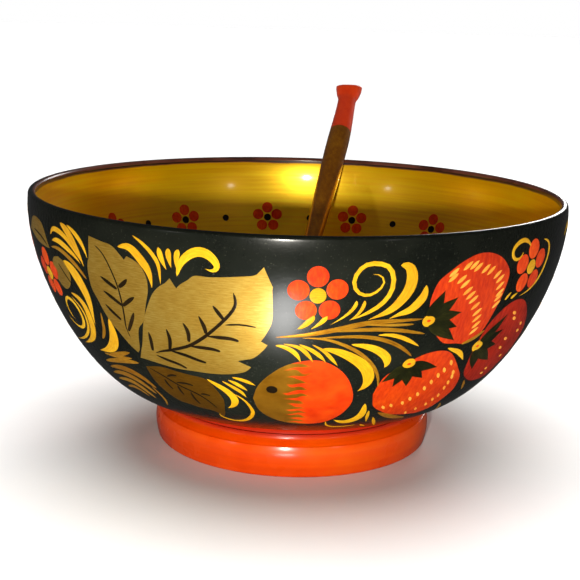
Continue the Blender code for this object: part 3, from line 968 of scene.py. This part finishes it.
# %% Yellow strokes
MID = 0.5
YELLOW_STROKES = [
    (1.7, 0.6, [(-34, 63), (-32, 63.5), (-30.5, 63), (-28.5, 61), (-27, 59), (-27, 56)]),
    (0.8, MID, [(-30.5, 65.5), (-28.5, 64.5), (-26.5, 63), (-25, 61), (-25, 59), (-25, 57)]),
    (1.1, 0.3, [(-25, 64), (-24.5, 62), (-23.5, 60)]),
    (1.1, 0.3, [(-23, 64), (-23, 62.5), (-22.5, 60.5)]),
    (1.1, 0.3, [(-21, 64), (-21.5, 62.5), (-21.5, 60.5)]),
    (1.7, 0.45, [
        (-21.5, 59), (-21, 61), (-20, 62.5), (-18, 64), (-16, 64), (-14.5, 63), (-13.5, 61.5),
        (-14.5, 60.5), (-16, 61),
    ]),
    (1.1, 0.4, [
        (-55.5, 62), (-54.5, 63.5), (-52.5, 63.5), (-50, 63), (-47.5, 61.5), (-45.5, 59.5), (-44, 58),
    ]),
    (1.2, 0.4, [(-55, 61), (-53, 61.5), (-50.5, 61), (-48, 60), (-46, 59), (-45, 58)]),
    (1.7, 0.35, [(-51, 65), (-48.5, 64), (-46.5, 62), (-45, 60), (-44, 57.5)]),
    (1.0, 0.4, [(-48.5, 65), (-46, 64), (-44, 62.5), (-43, 61), (-42.5, 59.5)]),
    (2.8, 0.4, [(-51.5, 57.5), (-49, 56.5), (-47, 54.5), (-45.5, 51.5), (-45.5, 48.5), (-46.5, 44)]),
    (2.0, 0.45, [
        (-52, 50.5), (-49, 50), (-47.5, 48), (-47.5, 45), (-48.5, 42), (-50.5, 39.5), (-54, 37.5),
        (-58, 36),
    ]),
    (0.8, MID, [
        (-52.5, 49.5), (-50, 48), (-49, 45.5), (-50, 42.5), (-52.5, 40), (-56, 38), (-60, 36.5),
        (-64, 35.5),
    ]),
    (1.0, 0.6, [
        (-56, 43), (-57.5, 45), (-57, 47.5), (-55, 49), (-52.5, 48.5), (-51, 46.5), (-51, 44), (-52.5, 42),
        (-55, 41), (-57.5, 41.5), (-60, 43),
    ]),
    (2.6, 0.45, [(-40.5, 47), (-40.5, 44), (-41.5, 41), (-43.5, 38.7), (-46.5, 37), (-50.5, 36)]),
    (1.9, 0.55, [
        (-19, 35), (-17, 33.5), (-15, 32), (-13.5, 29.5), (-13.5, 27.5), (-14.5, 25.5), (-16, 24.5),
    ]),
    (1.1, MID, [
        (-13.5, 31), (-11, 29), (-10, 26), (-9.5, 23.5), (-10.5, 21), (-12, 18.5), (-14.5, 17), (-17, 17),
        (-19, 18.5), (-19.5, 20), (-19, 21.5),
    ]),
    (1.0, 0.6, [(-15.5, 35), (-13.5, 33.5), (-11.5, 32), (-10.5, 30)]),
    (1.0, 0.6, [(-14, 35.5), (-12, 34.5), (-10, 32.5)]),
    (1.0, 0.6, [(-13, 36.5), (-10.5, 36), (-8, 34.5)]),
    (0.9, 0.85, [
        (13.5, 61), (15, 61), (16, 59.5), (15, 58), (13.5, 57), (12, 57), (10.5, 58), (10, 60), (11, 62),
        (12.5, 63), (14.5, 63), (16.5, 62.5), (17.5, 60.5), (17.5, 58), (16.5, 56), (15, 54.5), (12.5, 53),
        (10, 52),
    ]),
    (2.2, 0.4, [
        (18.5, 62.5), (20, 62.5), (21, 61), (21, 58.5), (20, 56.5), (18, 54), (16, 53), (13.5, 52),
    ]),
    (1.8, 0.35, [(24, 58.5), (24, 56.5), (23, 55), (21.5, 53.5), (19.5, 53), (17.5, 52)]),
    (0.7, 0.3, [(11, 56), (11, 55), (9.5, 53), (6.5, 51)]),
    (0.7, 0.3, [(12.5, 56), (12.5, 55), (11.5, 53), (10, 52)]),
    (1.2, 0.3, [(3.5, 53), (3, 52), (1.5, 50.5), (0.5, 50)]),
    (0.9, 0.3, [(6, 53), (5, 51.5), (3, 50)]),
    (0.9, MID, [(16, 48.5), (18.5, 48.5), (21.5, 47.5), (24, 46), (25.5, 45)]),
    (1.8, 0.6, [(11, 46.5), (14, 46), (16.5, 45), (19, 43), (19.5, 41), (19, 40)]),
    (0.8, 0.6, [(3.5, 46.5), (6, 45), (7.5, 43), (9, 41)]),
    (2.5, 0.6, [(5.5, 45.5), (8.5, 45), (12, 43), (15, 40.5), (16.5, 37), (16, 34.5), (14.5, 33)]),
    (1.0, 0.6, [(-3.5, 46), (-2, 46), (0.5, 44.5), (1.5, 42)]),
    (0.9, 0.6, [(-2, 46.5), (1, 46), (2.5, 44.5), (4, 42)]),
    (0.9, 0.6, [(1, 46.5), (3, 45.5), (5, 44), (6.5, 42)]),
    (1.2, 0.6, [(33, 43.5), (35.5, 42.5), (37.5, 41.5), (39.5, 39)]),
    (0.9, 0.7, [
        (47.5, 62.5), (47, 61.5), (45.5, 61), (44, 62), (44, 63.5), (45.5, 64.5), (47.5, 65), (49.5, 64),
        (50, 63),
    ]),
    (0.8, MID, [(55, 64), (57.5, 63.5), (59, 61.5), (58, 57.5), (56, 55), (53, 53.5), (50, 53)]),
    (0.7, 0.3, [(45, 53), (46, 54), (46.5, 54.5)]),
    (0.7, 0.3, [(47, 53), (48, 53.5), (49, 54)]),
    (2.6, 0.6, [(17.5, 28), (18, 24.5), (18, 21.5), (16, 19), (13.5, 18.5), (11, 20.5)]),
    (0.8, MID, [(9, 19.5), (9.5, 16.5), (11.5, 15), (14, 14.5), (18.5, 15.5)]),
    (0.9, 0.4, [(19.5, 24.5), (20, 21), (21, 17.5)]),
    (1.0, 0.4, [(22, 20.5), (24, 16), (26, 12)]),
    (0.9, 0.4, [(20, 15.5), (21, 14), (22.5, 13)]),
]
SPARE_STROKES = [
    (1.8, 0.4, [(74, 53), (76.5, 51), (78, 48), (78.5, 44), (78, 40)]),
    (1.6, 0.4, [(71, 47), (74, 45), (76, 41.5), (76.5, 37)]),
    (1.8, 0.4, [(69, 41), (71.5, 38.5), (73.5, 34.5), (74, 29)]),
    (1.4, 0.4, [(69, 34), (71.5, 31), (72.5, 27), (72, 22)]),
    (1.8, 0.4, [(109, 50), (105, 49), (101.5, 46), (99, 42), (98, 38)]),
    (1.6, 0.4, [(108, 44), (104.5, 42), (102, 39), (100, 34.5)]),
    (1.8, 0.4, [(109, 38), (106, 36), (103.5, 33), (102.5, 28)]),
    (1.4, 0.4, [(106, 31), (104, 28), (103, 24), (103.5, 20)]),
    (1.5, 0.5, [(79, 61), (77, 63.5), (74, 64.5), (71, 64), (69.5, 62.5)]),
    (1.5, 0.5, [(95, 61), (97, 63.5), (100, 64.5), (103, 64), (104.5, 62.5)]),
]
yellow = Marks(OUTSIDE, 1)
for side in SIDES:
    for width, peak, points in YELLOW_STROKES + SPARE_STROKES:
        yellow.stroke(width, peak, turned_by(points, side))
yellow.finish("yellow_strokes", YELLOW)

# %% [markdown]
# ## Stems
# The stalks that carry the berries are left in the gold of the ground, duller than the yellow. They fan out
# to the right from under the big leaf.

# %% Stems
STEMS = [
    (1.1, MID, [(-3.5, 48), (1.5, 48.5), (6, 49.5), (10, 50.5), (14, 51.5), (18.5, 51.5), (25, 51.5)]),
    (0.9, MID, [(6, 49.5), (14, 50), (20, 49.5), (26, 48)]),
    (0.6, MID, [(12.5, 51), (20, 50.5), (23, 50.5)]),
    (0.9, MID, [(4, 48), (11, 48.5), (15.5, 48), (19.5, 46.5), (22.5, 44.5), (24.5, 42.5)]),
    (0.8, MID, [(1.5, 48), (6, 48), (9.5, 46.5), (13, 44.5), (16.5, 41), (18.5, 37), (19, 34)]),
    (1.2, MID, [(42, 46.5), (39.5, 45), (36.5, 44)]),
    (1.3, MID, [(-38, 38.7), (-42, 37.2), (-47, 35.5)]),
    (1.5, MID, [(-36.5, 36), (-40, 35.7), (-45, 34.5), (-51, 32.5)]),
    (2.0, 0.55, [(-51, 30.5), (-46, 32), (-42, 32.3), (-38, 31), (-35.3, 27.5)]),
    (2.0, 0.55, [(-52, 28), (-47, 29.8), (-43, 29.8), (-39.5, 28.3), (-37, 24.5)]),
    (2.0, 0.55, [(-52, 25.5), (-47, 27.3), (-43.5, 27), (-41, 25.2), (-39.3, 21.5)]),
    (1.6, 0.55, [(-50, 23), (-46, 24.7), (-43.5, 24), (-42, 21.5)]),
    (0.8, MID, [(-36.8, 28), (-35.3, 24.5), (-35.5, 21.5), (-37.2, 18.5)]),
    (1.0, MID, [(-56, 59.5), (-52.5, 60), (-48.5, 58.5), (-46, 57), (-44, 55)]),
    (0.9, MID, [(-42.5, 48), (-43.5, 43), (-46, 40.5)]),
    (0.9, MID, [(-38, 37), (-43, 36), (-49, 35.5)]),
    (2.0, MID, [(22.5, 23), (26, 20.5), (30, 18), (34, 16.5)]),
    (0.9, MID, [(45.5, 31), (47, 29), (48.5, 26.5)]),
    (1.2, MID, [(44, 21.5), (47, 18), (49.5, 14)]),
]
stems = Marks(OUTSIDE, 1)
for side in SIDES:
    for width, peak, points in STEMS:
        stems.stroke(width, peak, turned_by(points, side), fullness=0.45)
stems.finish("gold_stems", STEM_GOLD)

# %% [markdown]
# ## Berries
# Three strawberries hang on the stems, red with pale seeds, each with a dark pointed calyx. The round berry
# below the stem is gold on its left and red on its right, where a fingertip or a torn swab dabbed the paint.

# %% Strawberries
BERRY_1 = [
    (25.5, 53.5), (25.5, 56), (26.5, 59), (29, 61), (31.5, 62.5), (34.5, 63.5), (37.5, 63.5), (40.5, 62.5),
    (42.5, 61), (44, 59), (44, 56.5), (43.5, 54), (42.5, 50), (41.5, 47), (40, 45), (37.5, 44),
    (34.5, 44.5), (31.5, 45), (29.5, 46.5), (27.5, 49), (26.5, 51.5),
]
BERRY_2 = [
    (18.5, 31.5), (19, 35), (20, 37.5), (22.5, 39.5), (26, 42), (29, 43), (32, 43), (34.5, 42), (37, 39.5),
    (39.5, 36.5), (42, 33.5), (43, 30.5), (43.5, 27.5), (42.5, 24), (41, 20.5), (37.5, 18.5), (34, 19),
    (30, 20), (26, 21.5), (22.5, 24), (20, 26.5), (19, 29.5),
]
BERRY_3 = [
    (41.5, 42.5), (42, 46.5), (44.5, 50), (48, 52), (52, 52), (55.5, 50), (60, 45.5), (62.5, 42), (63, 37),
    (61, 33), (57.5, 29), (52.5, 29), (47.5, 30.5), (43, 34), (41.5, 39),
]
CALYX = [
    ((26, 51), [(28, 56.5), (31, 55), (32.5, 52), (32.5, 49), (33, 46)]),
    ((24.5, 40), [(20, 36), (22.8, 34.3), (26, 34), (29, 36), (31.5, 38.6)]),
    ((42, 42), [(47.5, 48.5), (48.5, 45), (48.5, 41.5), (49.5, 37), (45, 35.5)]),
]
SEEDS = [
    (2.6, 38, [
        (29.5, 59.5), (31.5, 59), (32.5, 58), (33.5, 56.5), (34.5, 55.5), (35.5, 54.5), (36.5, 53),
        (37.5, 51.5), (38, 50), (38.5, 48.5), (38.5, 47),
    ]),
    (2.6, 38, [
        (29.5, 60.5), (32.5, 61.5), (34, 61.5), (35, 61), (37, 60.5), (38.5, 60), (40.5, 59), (41.5, 58),
        (42, 56.5), (42.5, 55), (42.5, 54), (42.5, 52.5),
    ]),
    (2.2, -58, [
        (23, 25.5), (25, 26), (28, 26.5), (29.5, 28), (31, 29.5), (32, 31.5), (33, 33.5), (34, 35.5),
        (35, 37), (36, 39),
    ]),
    (2.2, -58, [
        (38.5, 35.5), (39, 34), (39, 32), (39, 30), (39, 27), (38, 25.5), (37, 23.5), (34.5, 22),
        (32, 20.5),
    ]),
    (2.0, -25, [
        (51, 49), (52, 47.5), (53, 42), (53, 39.5), (53, 33), (52.5, 31.5), (57.5, 45), (58, 43), (57, 36),
    ]),
]
KNOBS = [((26, 51), 1.35), ((24.5, 40.5), 1.45), ((42, 42.5), 1.5)]

CALYX_WIDTH = 3.1
TIP_REACH = 1.12
SEED_WIDTH = 0.8
KNOB_DOT_SHARE = 0.32
berries, shaded_berry = Marks(OUTSIDE, 0), Marks(OUTSIDE, 0)
calyxes, seeds = Marks(OUTSIDE, 2), Marks(OUTSIDE, 2.5)
knobs, knob_dots = Marks(OUTSIDE, 4), Marks(OUTSIDE, 5)
for side in SIDES:
    for loop in (BERRY_1, BERRY_2):
        berries.blob(turned_by(loop, side))
    shaded_berry.blob(turned_by(BERRY_3, side))
    for base, tips in CALYX:
        for tip in tips:
            middle = (np.array(base) + tip) / 2
            tip = np.array(base) + TIP_REACH * (np.array(tip) - base)
            line = turned_by([base, middle, tip], side)
            calyxes.stroke(CALYX_WIDTH, 0.35, line, fullness=1.1, rows=18, halves=3)
    for length, tilt, spots in SEEDS:
        reach = length / 2 * np.array([math.cos(math.radians(tilt)), math.sin(math.radians(tilt))])
        for spot in spots:
            ends = [np.array(spot) - reach, np.array(spot), np.array(spot) + reach]
            seeds.stroke(SEED_WIDTH, MID, turned_by(ends, side), fullness=0.6, rows=6, halves=1)
    for spot, radius in KNOBS:
        knobs.dot(turned_by(spot, side), radius, rows=13)
        knob_dots.dot(turned_by(spot, side), radius * KNOB_DOT_SHARE)
berries.finish("strawberries", RED)
shaded_berry.finish("shaded_strawberries", DARK_RED)
calyxes.finish("calyxes", OLIVE)
seeds.finish("strawberry_seeds", SEED)
knobs.finish("calyx_knobs", YELLOW)
knob_dots.finish("knob_dots", PETAL)


# %% [markdown]
# ## The round berry
# Its colour turns from gold to red across its width. The paint reads the first number of its UV map. A sine
# wave of the second number and some soft noise shake it, so that the two colours meet in ragged fingers.


# %% The round berry
def two_tone():
    """Gold at the left and red at the right of the mark, meeting in streaks."""
    made, tree, shader = new_material(
        "gold_to_red", Coat_Weight=0.06, Coat_Roughness=0.12, Specular_IOR_Level=0.12
    )
    place = brush_place(tree)
    across, up = wire(tree, "SeparateXYZ", {0: place}).outputs[:2]
    uneven = sums(tree, "SUBTRACT", grain(tree, place, 2.2, detail=1.0), 0.5)
    phase = weighted(tree, up, 27.0, uneven, 9.0)
    fingers = sums(tree, "MULTIPLY", sums(tree, "SINE", phase), 0.22)
    shaken = sums(tree, "ADD", sums(tree, "ADD", across, fingers), sums(tree, "MULTIPLY", uneven, 0.5))
    turn = level(tree, shaken, -0.24, -0.10)
    mottled = grain(tree, object_place(tree), 160.0, detail=5.0)
    gold = tinted(tree, mottled, 0.2, (128, 84, 8), (160, 112, 24))
    red = tinted(tree, mottled, 0.2, (196, 42, 0), (226, 72, 2))
    feed(
        tree,
        shader,
        Base_Color=blend_of(tree, turn, gold, red),
        Metallic=level(tree, turn, 0.0, 1.0, 0.45, 0.0),
        Roughness=level(tree, mottled, 0.3, 0.7, 0.34, 0.46),
    )
    bump(tree, shader, mottled, 0.3, 0.00008)
    return made


ROUND_BERRY = [
    (-9, 30), (-7.5, 34.5), (-4.5, 38.5), (-0.5, 41.5), (5, 42.5), (9.5, 40), (12.5, 35.5), (14, 29.5),
    (12.5, 24), (9, 19.5), (4.5, 18), (-0.5, 18.5), (-5, 21), (-8, 25),
]
SPARE_BERRY = 84.0
round_berry, berry_dot = Marks(OUTSIDE, 0), Marks(OUTSIDE, 2)
for side in np.add.outer(SIDES, (0.0, SPARE_BERRY)).ravel():
    round_berry.blob(turned_by(ROUND_BERRY, side))
    berry_dot.dot(turned_by((-4.5, 33.5), side), 1.25, rows=13)
round_berry.finish("round_berries", two_tone())
berry_dot.finish("round_berry_dots", VEIN)

# %% [markdown]
# ## Small flowers
# Five round dabs of red about a yellow dot make a flower. Inside the bowl the same flower has a black
# heart, and black dots sit between the flowers in one ring.


# %% Flowers
def flower(petals, hearts, centre, petal_radius, reach, heart_radius, first):
    """Five dots at equal angles about a centre, and one dot in the middle."""
    angle = np.radians(first + 72 * np.arange(5))
    for spot in np.array(centre) + reach * np.stack([np.cos(angle), np.sin(angle)], axis=1):
        petals.dot(spot, petal_radius, rows=13)
    hearts.dot(np.array(centre, float), heart_radius, rows=13)


# Sizes are (petal radius, reach, heart radius, angle of the first petal), in map degrees.
OUTSIDE_FLOWER = (1.95, 3.6, 1.5, 92)
INSIDE_FLOWER = (1.5, 2.75, 1.0, 90)
FLOWER_SPOTS = ((4, 57), (51.5, 59), (-61, 53), (102, 56.5))
petals, hearts = Marks(OUTSIDE, 1), Marks(OUTSIDE, 2)
for side in SIDES:
    for centre in FLOWER_SPOTS:
        flower(petals, hearts, turned_by(centre, side), *OUTSIDE_FLOWER)
petals.finish("flower_petals", PETAL)
hearts.finish("flower_hearts", YELLOW)

RING_FLOWERS = 15
RING_HEIGHT = 48.5
RING_START = 140.5
RING_DOT = 0.9
ring_petals, ring_hearts = Marks(INSIDE, 1), Marks(INSIDE, 2)
for place in RING_START + 360 / RING_FLOWERS * np.arange(RING_FLOWERS):
    flower(ring_petals, ring_hearts, (place, RING_HEIGHT), *INSIDE_FLOWER)
    ring_hearts.dot(np.array([place + 180 / RING_FLOWERS, RING_HEIGHT]), RING_DOT, rows=13)
ring_petals.finish("inside_petals", PETAL)
ring_hearts.finish("inside_dots", INSIDE_BLACK)

# %% [markdown]
# ## The spoon
# The spoon is carved, so it has no turned outline. A copy of its CAD mesh is merged, rebuilt as small even
# quads by the Remesh modifier and relaxed, which softens the join between the scoop and the handle as a
# knife and sandpaper do. Its paint follows one number: the distance along the handle.

# %% Spoon shape
LEAN_POINT = np.array([0.0176, 0.0988, 0.1048])
LEAN_ELEVATION = math.radians(39.2)
LEAN_TURN = math.radians(13.6)
handle_way = np.array(
    [
        math.sin(LEAN_TURN) * math.cos(LEAN_ELEVATION),
        math.cos(LEAN_TURN) * math.cos(LEAN_ELEVATION),
        math.sin(LEAN_ELEVATION),
    ]
)


def carved_spoon(voxel):
    """Merge a copy of the CAD spoon, remesh it at the voxel size, relax it and keep the result."""
    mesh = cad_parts["spoon"].data.copy()
    mesh.materials.clear()
    work = bmesh.new()
    work.from_mesh(mesh)
    bmesh.ops.remove_doubles(work, verts=work.verts, dist=1e-6)
    work.to_mesh(mesh)
    work.free()
    helper = bpy.data.objects.new("spoon_helper", mesh)
    bpy.context.scene.collection.objects.link(helper)
    remesh = helper.modifiers.new("even_quads", "REMESH")
    remesh.mode = "VOXEL"
    remesh.voxel_size = voxel
    remesh.use_smooth_shade = True
    relax = helper.modifiers.new("sanding", "SMOOTH")
    relax.factor = 0.5
    relax.iterations = 6
    bpy.context.view_layer.update()
    result = bpy.data.meshes.new_from_object(helper.evaluated_get(bpy.context.evaluated_depsgraph_get()))
    bpy.data.objects.remove(helper)
    spoon = bpy.data.objects.new("spoon_carved", result)
    bpy.context.scene.collection.objects.link(spoon)
    places = np.empty(len(result.vertices) * 3, np.float32)
    result.vertices.foreach_get("co", places)
    along = (places.reshape(-1, 3) - LEAN_POINT) @ handle_way
    result.attributes.new("along", "FLOAT", "POINT").data.foreach_set("value", along.astype(np.float32))
    result.shade_smooth()
    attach(spoon, "spoon")
    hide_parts("spoon")
    reach = (along.min().round(4), along.max().round(4))
    print("spoon:", len(result.polygons), "faces, along the handle from and to", reach)
    return spoon


# %% Spoon finish
# Where the red end starts and where it is full, in metres along the handle.
RED_EDGE = (0.0086, 0.0090)
SPOON_VOXEL = 0.5 * MM


def spoon_paint():
    """Bronze-gold lacquer with long streaks, and a red end whose edge is cut a little unevenly."""
    made, tree, shader = new_material(
        "spoon_lacquer", Coat_Weight=0.6, Coat_Roughness=0.1, Specular_IOR_Level=0.5
    )
    along = wire(tree, "Attribute", attribute_name="along").outputs["Fac"]
    place = object_place(tree)
    turned_place = wire(
        tree,
        "Mapping",
        {"Vector": place, "Rotation": (-LEAN_ELEVATION, 0.0, LEAN_TURN), "Scale": (1.0, 0.06, 1.0)},
    ).outputs["Vector"]
    streaks = grain(tree, turned_place, 700.0, detail=4.0, roughness=0.6)
    cloud = grain(tree, place, 80.0, detail=4.0)
    tone = weighted(tree, streaks, 0.5, cloud, 0.5)
    gold = tinted(tree, tone, 0.2, (146, 84, 2), (182, 110, 4), (210, 138, 14))
    red = tinted(tree, tone, 0.2, (240, 52, 0), (255, 76, 4))
    wobble = sums(tree, "MULTIPLY", grain(tree, place, 160.0, detail=1.0), 0.003)
    painted = level(tree, sums(tree, "ADD", along, wobble), *RED_EDGE)
    feed(
        tree,
        shader,
        Base_Color=blend_of(tree, painted, gold, red),
        Metallic=level(tree, painted, 0.0, 1.0, 0.6, 0.0),
        Roughness=level(tree, cloud, 0.3, 0.7, 0.3, 0.42),
    )
    bump(tree, shader, tone, 0.35, 0.00010)
    return made


spoon = carved_spoon(SPOON_VOXEL)
spoon.data.materials.append(spoon_paint())
